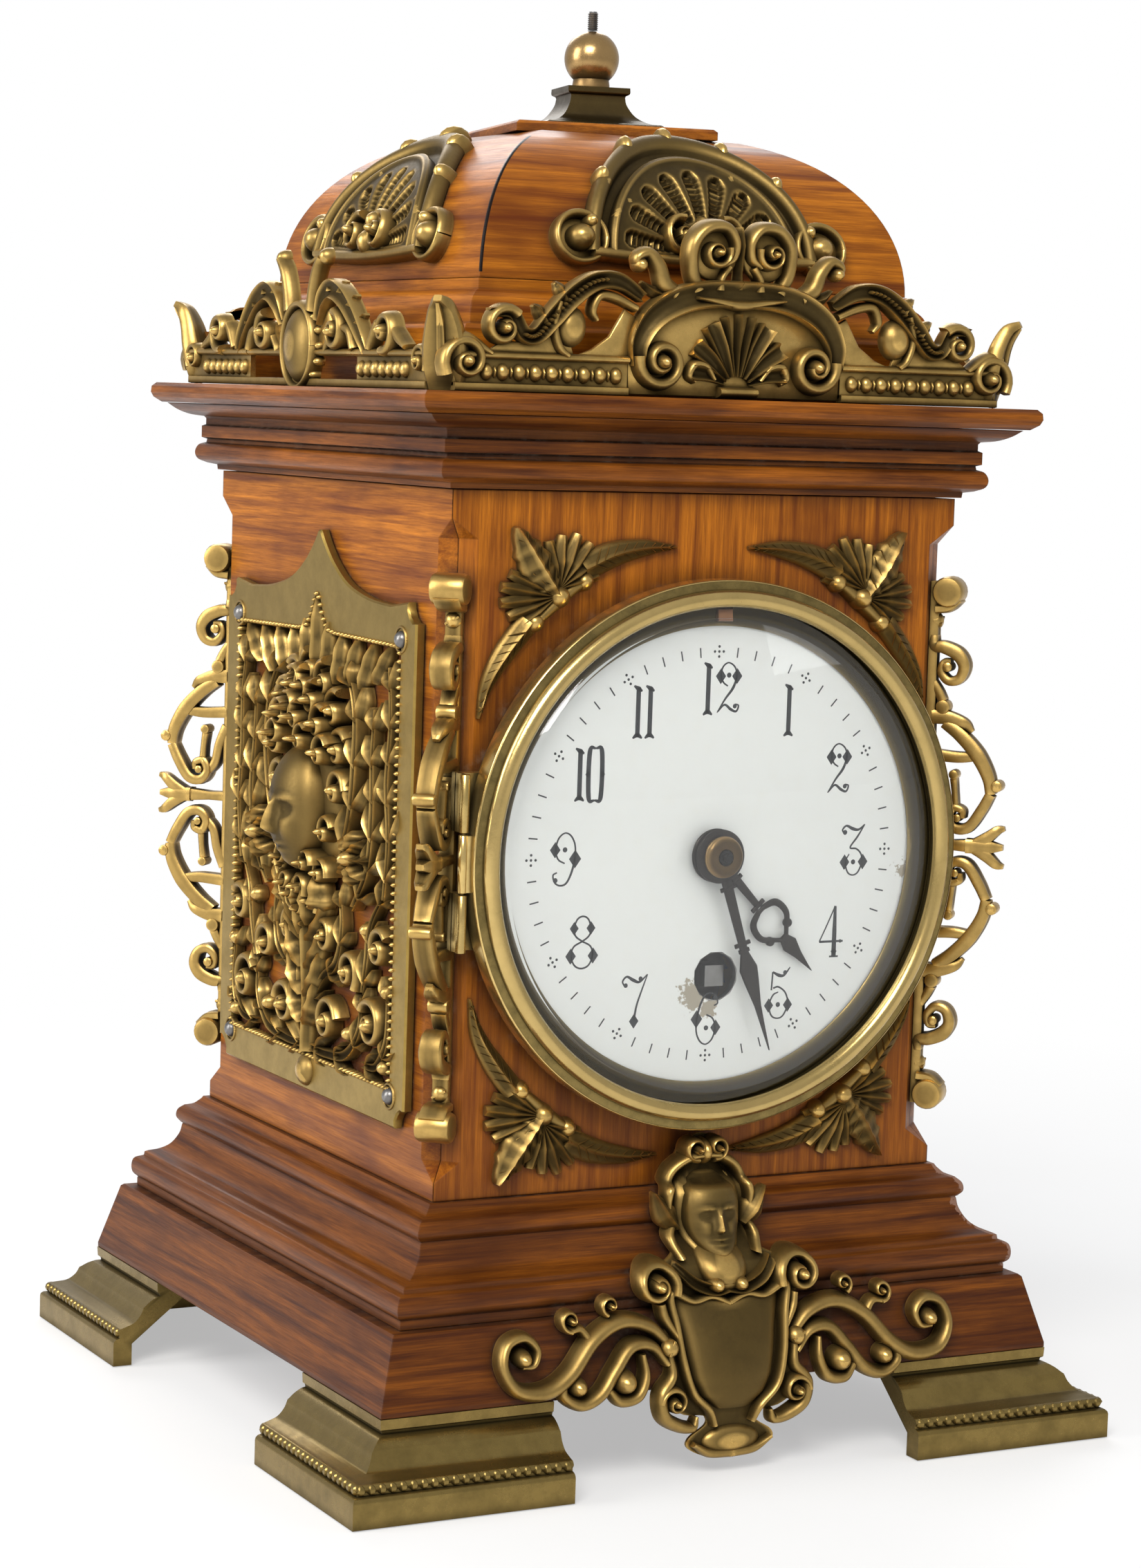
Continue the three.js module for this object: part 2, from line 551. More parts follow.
// Domed glass with a bevelled edge.
function bezelGlass() {
  const edge = BEZEL_ROLL_CENTRE - BEZEL_ROLL_RADIUS + 0.65;
  const low = RIM_TOP + 0.3;
  const crown = low + GLASS_RISE;
  const inner = (radius) => crown - GLASS_RISE * (radius / edge) ** 2;
  const shoulder = edge - GLASS_BEVEL;
  const radii = [0, 0.6, 1];
  const under = radii.map((part) => [edge * part, inner(edge * part)]).reverse();
  const over = radii.map((part) => [shoulder * part, inner(shoulder * part) + GLASS_THICKNESS]);
  return turned([...over, [edge, low + 0.7], ...under], ROUND_SIDES);
}

const WINDING_Y = -Math.sqrt((((GREAT_TEETH + CENTRE_PINION) * GREAT_MODULE) / 2) ** 2 - ARBOR_X ** 2);
const HOUR_HAND_LOW = DIAL_STAND + 1.2;
const MINUTE_HAND_LOW = HOUR_HAND_LOW + 1.4;
const COLLET_LOW = MINUTE_HAND_LOW + HAND_THICKNESS + 0.3;
const ARBOR_TIP = COLLET_LOW + 2.5;
const CANNON_RADIUS = 1.35;
const PIPE_BORE = 1.6;
const PIPE_RADIUS = 2.2;

// A hand drawn pointing up, then turned clockwise as the dial is seen.
function hand(pieces, bossRadius, bore, low, turn) {
  const blade = pieces.map((shape) => solid(plate(shape, HAND_THICKNESS, low)));
  const whole = join(round(bossRadius, HAND_THICKNESS, low, 12), ...blade);
  const hole = round(bore, 4 * HAND_THICKNESS, low - HAND_THICKNESS, 10);
  return cut(whole, hole).rotate([0, 0, (-turn * 180) / Math.PI]);
}

function hourHand() {
  const length = HOUR_HAND_LENGTH;
  const shaft = outline([[-0.8, 3], [0.8, 3], [0.65, 12.6], [-0.65, 12.6]]);
  const collar = (y, half) => outline([[-half, y], [half, y], [half, y + 0.9], [-half, y + 0.9]]);
  const lyre = [-1, 1].map((side) =>
    scroll([[side * 0.2, 13.2], [side * 2.9, 14.6], [side * 3.4, 17.4], [side * 0.4, 20.6]], 1.1, 1.1, 4));
  const spade = outline([[-0.7, 19.9], [0.7, 19.9], [1.4, 21.4], [0.9, 23.6], [0.25, length],
    [-0.25, length], [-0.9, 23.6], [-1.4, 21.4]]);
  return hand([shaft, collar(5.6, 1.4), collar(12, 1.5), ...lyre, spade], HAND_BOSS_RADIUS,
    PIPE_RADIUS + 0.1, HOUR_HAND_LOW, HOUR_HAND_TURN);
}

function minuteHand() {
  const length = MINUTE_HAND_LENGTH;
  const blade = outline([[-0.9, 3], [0.9, 3], [0.6, 17], [1.5, 19], [1.7, 21.5], [0.6, 25.5],
    [0.2, length], [-0.2, length], [-0.6, 25.5], [-1.7, 21.5], [-1.5, 19], [-0.6, 17]]);
  const collar = outline([[-1.4, 15.6], [1.4, 15.6], [1.4, 16.6], [-1.4, 16.6]]);
  return hand([blade, collar], HAND_BOSS_RADIUS, CANNON_RADIUS + 0.1, MINUTE_HAND_LOW, MINUTE_HAND_TURN);
}

const handCollet = () => {
  const top = COLLET_LOW + 1.4;
  const bore = CANNON_RADIUS + 0.1;
  return turned([[bore, COLLET_LOW], [COLLET_RADIUS, COLLET_LOW], [COLLET_RADIUS, COLLET_LOW + 0.5],
    [COLLET_RADIUS - 1, top], [bore, top], [bore, COLLET_LOW]], 12);
};

// ---------------------------------------------------------------- movement
// Depths here are local z, so they are negative behind the front of the body.
const FRONT_PLATE_TOP = -PLATE_DEPTH;
const FRONT_PLATE_LOW = FRONT_PLATE_TOP - PLATE_THICKNESS;
const BACK_PLATE_TOP = FRONT_PLATE_LOW - PLATE_SPACING;
const BACK_PLATE_LOW = BACK_PLATE_TOP - PLATE_THICKNESS;
const PALLET_Y = 26;
const ESCAPE_Y = 13.8;
const MOTION_DISTANCE = ((CANNON_TEETH + MINUTE_TEETH) * MOTION_MODULE) / 2;
const HOUR_MODULE = (2 * MOTION_DISTANCE) / (MINUTE_PINION + HOUR_TEETH);
const distance = (first, second, module) => ((first + second) * module) / 2;

// The point at two given distances from two others, to the right of the line from a to b.
function meet(a, fromA, b, fromB) {
  const span = Math.hypot(b[0] - a[0], b[1] - a[1]);
  const along = (fromA ** 2 - fromB ** 2 + span ** 2) / (2 * span);
  const aside = Math.sqrt(fromA ** 2 - along ** 2);
  const [ux, uy] = [(b[0] - a[0]) / span, (b[1] - a[1]) / span];
  return [a[0] + ux * along + uy * aside, a[1] + uy * along - ux * aside];
}
const CENTRE_AT = [0, 0];
const WINDING_AT = [ARBOR_X, WINDING_Y];
const ESCAPE_AT = [0, ESCAPE_Y];
const FOURTH_AT = [Math.sqrt(distance(FOURTH_TEETH, ESCAPE_PINION, FOURTH_MODULE) ** 2 - 9), ESCAPE_Y + 3];
const THIRD_AT = meet(CENTRE_AT, distance(CENTRE_TEETH, THIRD_PINION, CENTRE_MODULE),
  FOURTH_AT, distance(THIRD_TEETH, FOURTH_PINION, THIRD_MODULE));
const MINUTE_AT = [-MOTION_DISTANCE * Math.SQRT1_2, MOTION_DISTANCE * Math.SQRT1_2];
const CLICK_AT = [-9.5, -19.5];

const bearing = (from, to) => Math.atan2(to[1] - from[1], to[0] - from[0]);

// A toothed disc about (x, y). It has a tooth, or the gap of a meshing wheel, at angle `aim`.
function gear(teeth, module, aim, gap, low, high, [x, y], filled = 0.6) {
  const pitch = (teeth * module) / 2;
  const tip = pitch + filled * module;
  const root = pitch - 1.15 * module;
  const step = (2 * Math.PI) / teeth;
  const points = [];
  for (let i = 0; i < teeth; i += 1) {
    const angle = aim + step * (i + (gap ? 0.5 : 0));
    [[root, -0.5], [tip, 0]].forEach(([radius, part]) =>
      points.push([x + radius * Math.cos(angle + part * step), y + radius * Math.sin(angle + part * step)]));
  }
  return solid(plate(outline(points), high - low, low));
}

const arborBar = (low, high, at, radius = ARBOR_RADIUS) => round(radius, high - low, low, 6, ...at);

// An arbor that runs in both plates, with a thinner pivot at each end.
const runningArbor = (at) => join(
  arborBar(BACK_PLATE_TOP + 0.2, FRONT_PLATE_LOW - 0.2, at),
  arborBar(BACK_PLATE_LOW, FRONT_PLATE_TOP, at, PIVOT_RADIUS));

const GREAT_TOP = FRONT_PLATE_LOW - 1.2;
const GREAT_LOW = GREAT_TOP - 1.5;
const CENTRE_WHEEL_LOW = GREAT_LOW - BARREL_LENGTH - 3;
const THIRD_WHEEL_LOW = FRONT_PLATE_LOW - 6.2;
const FOURTH_WHEEL_LOW = FRONT_PLATE_LOW - 12.2;
const ESCAPE_LOW = BACK_PLATE_TOP + 3.8;
const CANNON_LOW = FRONT_PLATE_TOP + 0.7;
const HOUR_WHEEL_LOW = CANNON_LOW + 2.2;

function greatWheel() {
  const aim = bearing(WINDING_AT, CENTRE_AT);
  const wheel = gear(GREAT_TEETH, GREAT_MODULE, aim, false, GREAT_LOW, GREAT_TOP, WINDING_AT);
  const drum = round(BARREL_RADIUS, BARREL_LENGTH + 0.5, GREAT_LOW - BARREL_LENGTH, 16, ...WINDING_AT);
  return cut(join(wheel, drum), round(2.4, 40, GREAT_LOW - 25, 8, ...WINDING_AT));
}

function windingArbor() {
  const [x, y] = WINDING_AT;
  const teeth = [];
  for (let i = 0; i < RATCHET_TEETH; i += 1) {
    const angle = (2 * Math.PI * i) / RATCHET_TEETH;
    const back = angle + (0.9 * 2 * Math.PI) / RATCHET_TEETH;
    teeth.push([x + RATCHET_RADIUS * Math.cos(angle), y + RATCHET_RADIUS * Math.sin(angle)]);
    teeth.push([x + (RATCHET_RADIUS - 0.9) * Math.cos(back), y + (RATCHET_RADIUS - 0.9) * Math.sin(back)]);
  }
  return join(
    arborBar(BACK_PLATE_LOW, BACK_PLATE_TOP + 1, WINDING_AT, 1.5),
    arborBar(BACK_PLATE_TOP + 0.4, FRONT_PLATE_TOP + 0.7, WINDING_AT, 2),
    solid(plate(outline(teeth), 1, FRONT_PLATE_TOP + 0.6)),
    block(WINDING_SQUARE, WINDING_SQUARE, DIAL_STAND + PLATE_DEPTH - 1, x, y,
      (DIAL_STAND - PLATE_DEPTH) / 2));
}

// Sprung pawl on the front plate, shown lifted clear of the ratchet.
function click() {
  const low = FRONT_PLATE_TOP + 0.6;
  const [x, y] = CLICK_AT;
  const arm = outline([[x - 1.6, y - 0.6], [x + 1.5, y - 1], [x + 3.6, y - 5.4], [x + 2.2, y - 6.6],
    [x - 0.4, y - 3.4]]);
  const body = join(round(1.7, 1.2, low, 12, x, y), solid(plate(arm, 1.2, low)));
  return cut(body, round(0.95, 4, low - 1, 10, x, y));
}

function centreArbor() {
  const cannon = round(CANNON_RADIUS, COLLET_LOW + 1.4 - CANNON_LOW, CANNON_LOW, 8);
  return join(
    arborBar(BACK_PLATE_TOP + 0.2, FRONT_PLATE_LOW - 0.2, CENTRE_AT, 1.1),
    arborBar(BACK_PLATE_LOW, ARBOR_TIP, CENTRE_AT),
    gear(CENTRE_PINION, GREAT_MODULE, bearing(CENTRE_AT, WINDING_AT), true, GREAT_LOW - 0.4,
      GREAT_TOP + 0.4, CENTRE_AT),
    gear(CENTRE_TEETH, CENTRE_MODULE, bearing(CENTRE_AT, THIRD_AT), false, CENTRE_WHEEL_LOW,
      CENTRE_WHEEL_LOW + WHEEL_THICKNESS, CENTRE_AT),
    cannon,
    gear(CANNON_TEETH, MOTION_MODULE, bearing(CENTRE_AT, MINUTE_AT), true, CANNON_LOW,
      CANNON_LOW + 1.4, CENTRE_AT));
}

function trainArbor(at, pinion, pinionModule, from, pinionLow, wheel, wheelModule, to, wheelLow) {
  return join(runningArbor(at),
    gear(pinion, pinionModule, bearing(at, from), true, pinionLow - 0.8,
      pinionLow + WHEEL_THICKNESS + 0.8, at),
    gear(wheel, wheelModule, bearing(at, to), false, wheelLow, wheelLow + WHEEL_THICKNESS, at));
}
const thirdArbor = () => trainArbor(THIRD_AT, THIRD_PINION, CENTRE_MODULE, CENTRE_AT, CENTRE_WHEEL_LOW,
  THIRD_TEETH, THIRD_MODULE, FOURTH_AT, THIRD_WHEEL_LOW);
const fourthArbor = () => trainArbor(FOURTH_AT, FOURTH_PINION, THIRD_MODULE, THIRD_AT, THIRD_WHEEL_LOW,
  FOURTH_TEETH, FOURTH_MODULE, ESCAPE_AT, FOURTH_WHEEL_LOW);

function escapeArbor() {
  const teeth = [];
  for (let i = 0; i < ESCAPE_TEETH; i += 1) {
    const angle = (2 * Math.PI * i) / ESCAPE_TEETH;
    const root = angle + (0.55 * 2 * Math.PI) / ESCAPE_TEETH;
    teeth.push([ESCAPE_RADIUS * Math.cos(angle), ESCAPE_Y + ESCAPE_RADIUS * Math.sin(angle)]);
    teeth.push([(ESCAPE_RADIUS - 1.3) * Math.cos(root), ESCAPE_Y + (ESCAPE_RADIUS - 1.3) * Math.sin(root)]);
  }
  return join(runningArbor(ESCAPE_AT),
    gear(ESCAPE_PINION, FOURTH_MODULE, bearing(ESCAPE_AT, FOURTH_AT), true,
      FOURTH_WHEEL_LOW - 0.8, FOURTH_WHEEL_LOW + WHEEL_THICKNESS + 0.8, ESCAPE_AT),
    solid(plate(outline(teeth), WHEEL_THICKNESS, ESCAPE_LOW)));
}

const CRUTCH_LOW = BACK_PLATE_LOW - 8;
const PENDULUM_DEPTH = CRUTCH_LOW - 1.9;
function pallets() {
  const y = PALLET_Y;
  const anchor = outline(bothSides([[3.5, y + 0.6], [8.4, y - 3.5], [7.6, y - 6.6],
    [6.2, y - 6], [6.6, y - 4], [3, y - 1.6]]));
  const fork = [-1, 1].map((side) => block(0.8, 1.6, 4.4, side * 1.4, y - 16, CRUTCH_LOW - 1.4));
  return join(
    arborBar(BACK_PLATE_TOP + 0.2, FRONT_PLATE_LOW - 0.2, [0, y]),
    arborBar(BACK_PLATE_TOP - 0.6, FRONT_PLATE_TOP, [0, y], PIVOT_RADIUS),
    arborBar(CRUTCH_LOW, BACK_PLATE_TOP, [0, y], PIVOT_RADIUS),
    solid(plate(anchor, 1.8, ESCAPE_LOW - 0.4)),
    block(1.4, 16.8, 0.8, 0, y - 7.7, CRUTCH_LOW + 0.4), block(3.6, 1.6, 0.8, 0, y - 16, CRUTCH_LOW + 0.4),
    ...fork);
}

function pendulum() {
  const centre = PALLET_Y - PENDULUM_LENGTH;
  const bob = turned([[0, -BOB_THICKNESS / 2], [BOB_RADIUS - 2.5, -BOB_THICKNESS / 2 + 0.4],
    [BOB_RADIUS, 0], [BOB_RADIUS - 2.5, BOB_THICKNESS / 2 - 0.4], [0, BOB_THICKNESS / 2]], 12)
    .translate([0, centre, PENDULUM_DEPTH]);
  const rod = barrel(0.6, 0, centre, PALLET_Y - 7, 0, PENDULUM_DEPTH, 8);
  const spring = block(1.6, 8, 0.3, 0, PALLET_Y - 5.1, PENDULUM_DEPTH);
  const eye = cut(solid(plate(disc(1.5, 10, 0, PALLET_Y), 1.4, PENDULUM_DEPTH - 0.7)),
    round(0.75, 4, PENDULUM_DEPTH - 2, 8, 0, PALLET_Y));
  return join(bob, rod, spring, eye);
}

const PILLAR_ANGLES = [30, 150, 215, 325].map((degrees) => (degrees * Math.PI) / 180);
const pillarAt = (angle) => [PILLAR_CIRCLE * Math.cos(angle), PILLAR_CIRCLE * Math.sin(angle)];
function plateDisc(low, holes, extras) {
  const bores = holes.map(([radius, at]) => circle(radius, 6, ...at));
  const face = outline(circle(PLATE_RADIUS, 20), ...bores);
  return join(solid(plate(face, PLATE_THICKNESS, low)), ...extras);
}

function frontPlate() {
  const pivots = [THIRD_AT, FOURTH_AT, ESCAPE_AT, [0, PALLET_Y]].map((at) => [PIVOT_RADIUS + PIVOT_GAP, at]);
  const pillars = PILLAR_ANGLES.map((angle) =>
    round(PILLAR_RADIUS, PLATE_SPACING - 0.2, BACK_PLATE_TOP + 0.3, 8, ...pillarAt(angle)));
  const studs = [round(0.5, 5.6, FRONT_PLATE_TOP - 0.4, 8, ...MINUTE_AT),
    round(0.8, 2.8, FRONT_PLATE_TOP - 0.4, 8, ...CLICK_AT)];
  return plateDisc(FRONT_PLATE_LOW, [[ARBOR_RADIUS + PIVOT_GAP, CENTRE_AT], [2.45, WINDING_AT], ...pivots],
    [...pillars, ...studs]);
}

function backPlate() {
  const pivots = [THIRD_AT, FOURTH_AT, ESCAPE_AT, [0, PALLET_Y]].map((at) => [PIVOT_RADIUS + PIVOT_GAP, at]);
  const screws = PILLAR_ANGLES.map((angle) => round(1.8, 1.4, BACK_PLATE_LOW - 1, 6, ...pillarAt(angle)));
  const reach = BACK_PLATE_LOW - PENDULUM_DEPTH + 3;
  const cock = [block(9, 3, reach, 0, PALLET_Y + 5.5, BACK_PLATE_LOW - reach / 2 + 0.3),
    block(3, 7, 1.2, 0, PALLET_Y + 2.4, PENDULUM_DEPTH - 2.3),
    round(0.5, 3.4, PENDULUM_DEPTH - 2, 8, 0, PALLET_Y)];
  return plateDisc(BACK_PLATE_LOW, [[ARBOR_RADIUS + PIVOT_GAP, CENTRE_AT], [1.85, WINDING_AT], ...pivots],
    [...screws, ...cock]);
}

function hourWheel() {
  const high = HOUR_HAND_LOW + HAND_THICKNESS + 0.5;
  const wheel = gear(HOUR_TEETH, HOUR_MODULE, bearing(CENTRE_AT, MINUTE_AT), false, HOUR_WHEEL_LOW,
    HOUR_WHEEL_LOW + WHEEL_THICKNESS, CENTRE_AT);
  const pipe = round(PIPE_RADIUS, high - HOUR_WHEEL_LOW, HOUR_WHEEL_LOW, 10);
  return cut(join(wheel, pipe), round(PIPE_BORE, 30, HOUR_WHEEL_LOW - 10, 10));
}

function minuteWheel() {
  const top = CANNON_LOW + 0.2 + WHEEL_THICKNESS;
  const aim = bearing(MINUTE_AT, CENTRE_AT);
  const wheel = gear(MINUTE_TEETH, MOTION_MODULE, aim, false, CANNON_LOW + 0.2, top, MINUTE_AT);
  const pinion = gear(MINUTE_PINION, HOUR_MODULE, aim, true, top - 0.1, HOUR_WHEEL_LOW + 1.4, MINUTE_AT);
  return cut(join(wheel, pinion), round(0.65, 20, CANNON_LOW - 5, 8, ...MINUTE_AT));
}

// ---------------------------------------------------------------- cast mounts
// A shape drawn in depth and height, given width along the wall it stands on.
const sideways = (shape, width) => solid(plate(shape, width, -width / 2).rotateY(-Math.PI / 2));
const flipped = (points) => points.map(([depth, height]) => [depth, -height]).reverse();

// Strip with a roll, a screw and a scroll at each end, and a pierced handle in the middle.
function cornerMount() {
  const low = SEAT_GAP;
  const face = low + MOUNT_STRIP;
  const stretch = MOUNT_HALF_LENGTH / MOUNT_DRAWN;
  const edge = stretched([[low, MOUNT_DRAWN], [face, MOUNT_DRAWN], [face, 35.2], [5.4, 34.6],
    [7, 31], [face, 26.6], [4, 24.6], [face, 22.8], [3.4, 20.4], [8.4, 20.8], [7.6, 18.4],
    [10.6, 16.6], [12.3, 12.4], [14, 11], [12.3, 9.4], [10.9, 4.6]], stretch);
  const opening = stretched([[face, 15.3], [6.4, 15.3], [9.1, 12], [8.4, 7.4], [5.6, 6.6], [6.4, 12.6],
    [4.6, 12.2], [4.6, 5], [7.8, 3.4]], stretch);
  const profile = outline([...edge, [14.9, 0], ...flipped(edge)], [...opening, ...flipped(opening)]);
  const ends = [1, -1].map((side) => join(
    sideways(disc(MOUNT_ROLL_RADIUS, 8, 3.3, side * stretch * 44.7), MOUNT_ROLL_WIDTH),
    round(1.45, 2, low + 0.8, 6, 0, side * stretch * 39.7)));
  return join(sideways(profile, MOUNT_WIDTH), ...ends);
}

// Rail, mouldings and bead bands shared by all four galleries.
function galleryRail(half, bandStart) {
  const t = GALLERY_THICKNESS;
  const band = half - bandStart - 7;
  return [block(2 * half - 8, 0.9, 1.4, 0, 0.95, t + 0.4),
    ...[-1, 1].map((side) => block(band, 1, 1.2, side * (bandStart + band / 2), GALLERY_RAIL - 0.9, t + 0.4)),
    ...[-1, 1].map((side) => block(band - 3, 2.8, 1.2, side * (bandStart + band / 2), 3.4, t + 0.2))];
}

function frontGallery() {
  const half = HALF + GALLERY_REACH - 0.1;
  const t = GALLERY_THICKNESS;
  const horn = outline([[-1, 0.4], [0.7, 0.4], [0.9, 8], [3.4, ACROTERION_HEIGHT], [0.2, 12.6], [-1, 7]]);
  const horns = [-1, 1].map((side) =>
    sideways(horn, 4.4).rotate([0, side * 45, 0]).translate([side * (half - 0.6), 0, t - 0.6]));
  const edge = bothSides([[half, 0.3], [half, 6.4], [54, 7.6], [51.4, 8.4], [48.8, 7.4], [47.4, 6.4],
    [46.5, 8.6], [46.4, 11.2], [44.6, 12.8], [42.2, 12.2], [40.4, 10], [36, 12.6], [31, 17.4], [24.5, 19.8],
    [17, 17.9], [12, 17.6], [15.2, 20.2], [16.8, 24], [12, 21.6], [9.6, 21], [10.2, 25], [7.4, 28.2],
    [3.4, 29], [0.6, 29.3]]);
  const openings = [
    [[25.6, 6.9], [28.4, 11], [25.8, 15.4], [21.2, 11.8]],
    [[34.4, 6.9], [38, 7.2], [33.6, 12], [32.6, 9.8]],
    [[1.6, 19.8], [6.4, 22], [6.8, 24.6], [2.6, 24.2]]];
  const fan = bothSides([[4, 0.5], [3.6, 3], [9.6, 6.8], [8, 9.6], [5.4, 11.6], [2, 12.6]]);
  return join(...galleryRail(half, 21.5), ...horns,
    solid(plate(outline(edge, ...openings, ...openings.map(mirrored)), t + 0.4)),
    discPair(3, t + 1.6, 0, 7, 51.4, 5), discPair(3.5, t + 1.7, 0, 7, 14.9, 5.9),
    solid(plate(outline(fan), t + 1)));
}

function sideGallery() {
  const half = HALF + GALLERY_REACH - GALLERY_THICKNESS - 2.6;
  const t = GALLERY_THICKNESS;
  const edge = bothSides([[half, 0.3], [half, 6.6], [40.4, 6.6], [39, 10], [36, 11.8], [32, 11.4],
    [30.4, 8.6], [28.6, 6.6], [23.4, 13.2], [19, 16.2], [13.8, 17.9], [9, 15.4], [9.4, 19.4], [10.8, 21.4],
    [9.6, 23.6], [7.6, 23.2], [5.6, 17.6], [4.8, 14.4], [1.6, 14.6]]);
  const gap = [[18.4, 6.9], [23.8, 6.9], [21.4, 11], [17.4, 13.4], [17, 11.4], [18.6, 9]];
  const shield = bothSides([[6.2, 0.6], [8.6, 3.4], [8.2, 7.4], [9.2, 10.6], [6.4, 13.6]]);
  const boss = bothSides([[4.2, 2.4], [5.8, 6.6], [4.4, 11], [1.6, 12.4]]);
  return join(...galleryRail(half, 24), solid(plate(outline(edge, gap, mirrored(gap)), t + 0.4)),
    solid(plate(outline(shield), t + 1.4)), solid(plate(outline(boss), t + 2.6)),
    discPair(2.2, t + 1.3, 0, 6, 14.6, 9.4));
}

// A shell cast to the curve of the vault: a flat outline pushed through a skin over the dome.
function domeShell(turn) {
  const skin = (thickness) => mitred([...domeCurve(SEAT_GAP), ...domeCurve(thickness).reverse()]);
  const cutter = (points) =>
    solid(plate(outline(points), 60).rotateX(Math.PI / 2).translate(0, -6, DOME_BOTTOM));
  const fan = (inset, base) => {
    const points = [[inset - 8, base], [8 - inset, base]];
    for (let i = 0; i <= 8; i += 1) {
      const angle = (Math.PI * i) / 8;
      points.push([Math.cos(angle) * (SHELL_WIDTH / 2 - inset), 4.6 + Math.sin(angle) * (19.4 - inset)]);
    }
    return cutter(points);
  };
  const ears = [-1, 1].map((side) => cutter([[side * 18, 4], [side * 22, 2.6], [side * 27, 3.8],
    [side * 28.4, 7.6], [side * 26, 11.2], [side * 21, 11.6], [side * 17.6, 9]]));
  const low = skin(SHELL_THICKNESS);
  const high = skin(SHELL_THICKNESS + 1.1);
  const whole = join(low.intersect(fan(0, 1.6)), high.intersect(fan(4.4, 4.8)),
    ...ears.map((ear) => high.intersect(ear)));
  return whole.rotate([0, 0, (turn * 180) / Math.PI]);
}

// Leafy corner pieces round the bezel. Drawn for the upper right, then mirrored.
function spandrel(sideX, sideY) {
  const room = sideY > 0 ? BODY_TOP - DIAL_HEIGHT - SPANDREL_TOP_GAP
    : DIAL_HEIGHT - BODY_BOTTOM - SPANDREL_FOOT_GAP;
  const place = (points) =>
    outline(points.map(([x, y]) => [sideX * x, (sideY * y * room) / SPANDREL_DRAWN]));
  const low = SEAT_GAP;
  const body = place([[41.6, 56], [31, 55], [20, 53], [13.4, 52.2], [20, 49.4], [28.6, 43.2],
    [33.4, 40.4], [36.6, 36], [39.2, 31.4], [41.2, 31.2], [43, 42], [41.6, 46.4], [43.2, 50.6]]);
  const leaf = place([[40, 54.6], [34.6, 54], [30.6, 50.4], [31.4, 45.4], [35.6, 43.4], [41, 48]]);
  const bezelRoom = round(BEZEL_RADIUS + SPANDREL_BEZEL_GAP, 4 * SPANDREL_THICKNESS, 0, ROUND_SIDES);
  return cut(join(solid(plate(body, SPANDREL_THICKNESS - 0.8, low)),
    solid(plate(leaf, SPANDREL_THICKNESS + 0.4, low))), bezelRoom);
}

// Pierced sound fret with a mask over the middle, drawn up from its bottom edge.
function sideFret() {
  const half = FRET_WIDTH / 2 - 2.4;
  const top = FRET_HEIGHT;
  const stretch = FRET_HEIGHT / FRET_DRAWN;
  const low = SEAT_GAP;
  const edge = bothSides([[half, 0], [half, top - 17], [half - 4, top - 9], [half - 13, top - 3],
    [half - 22, top + 1], [6, top + 6], [1.6, top + FRET_PEAK]]);
  const openings = [
    [[5, 6], [34, 5], [35, 16], [27, 20], [19, 14]],
    [[22, 24], [34, 21], [35.4, 36], [30, 40], [22, 34]],
    [[20.4, 45], [34.6, 43], [35, 56], [28, 59], [19.6, 55]],
    [[12, 70], [15, 63], [33, 63], [34.4, 71], [27, 79], [10, 84]],
  ].map((points) => stretched(points, stretch));
  const middle = 45 * stretch;
  const oval = (rx, ry) => outline(Array.from({ length: 8 }, (_, i) => {
    const angle = (Math.PI * (i + 0.5)) / 4;
    return [rx * Math.cos(angle), middle + ry * Math.sin(angle)];
  }));
  const rim = low + FRET_RELIEF / 2;
  return join(solid(plate(outline(edge, ...openings, ...openings.map(mirrored)), FRET_PLATE, low)),
    ...[-1, 1].map((side) => block(1.6, top - 19, FRET_RELIEF, side * (half - 1), (top - 19) / 2 + 1, rim)),
    block(2 * half - 2, 1.6, FRET_RELIEF, 0, 1, rim),
    solid(plate(oval(15.5, 19.5), FRET_RELIEF - 0.6, low)),
    solid(plate(oval(8.5, 12.4), FRET_RELIEF + 1.6, low)),
    block(2.6, 7, FRET_RELIEF + 3.2, 0, middle - 0.4, low + FRET_RELIEF / 2 + 1.6));
}

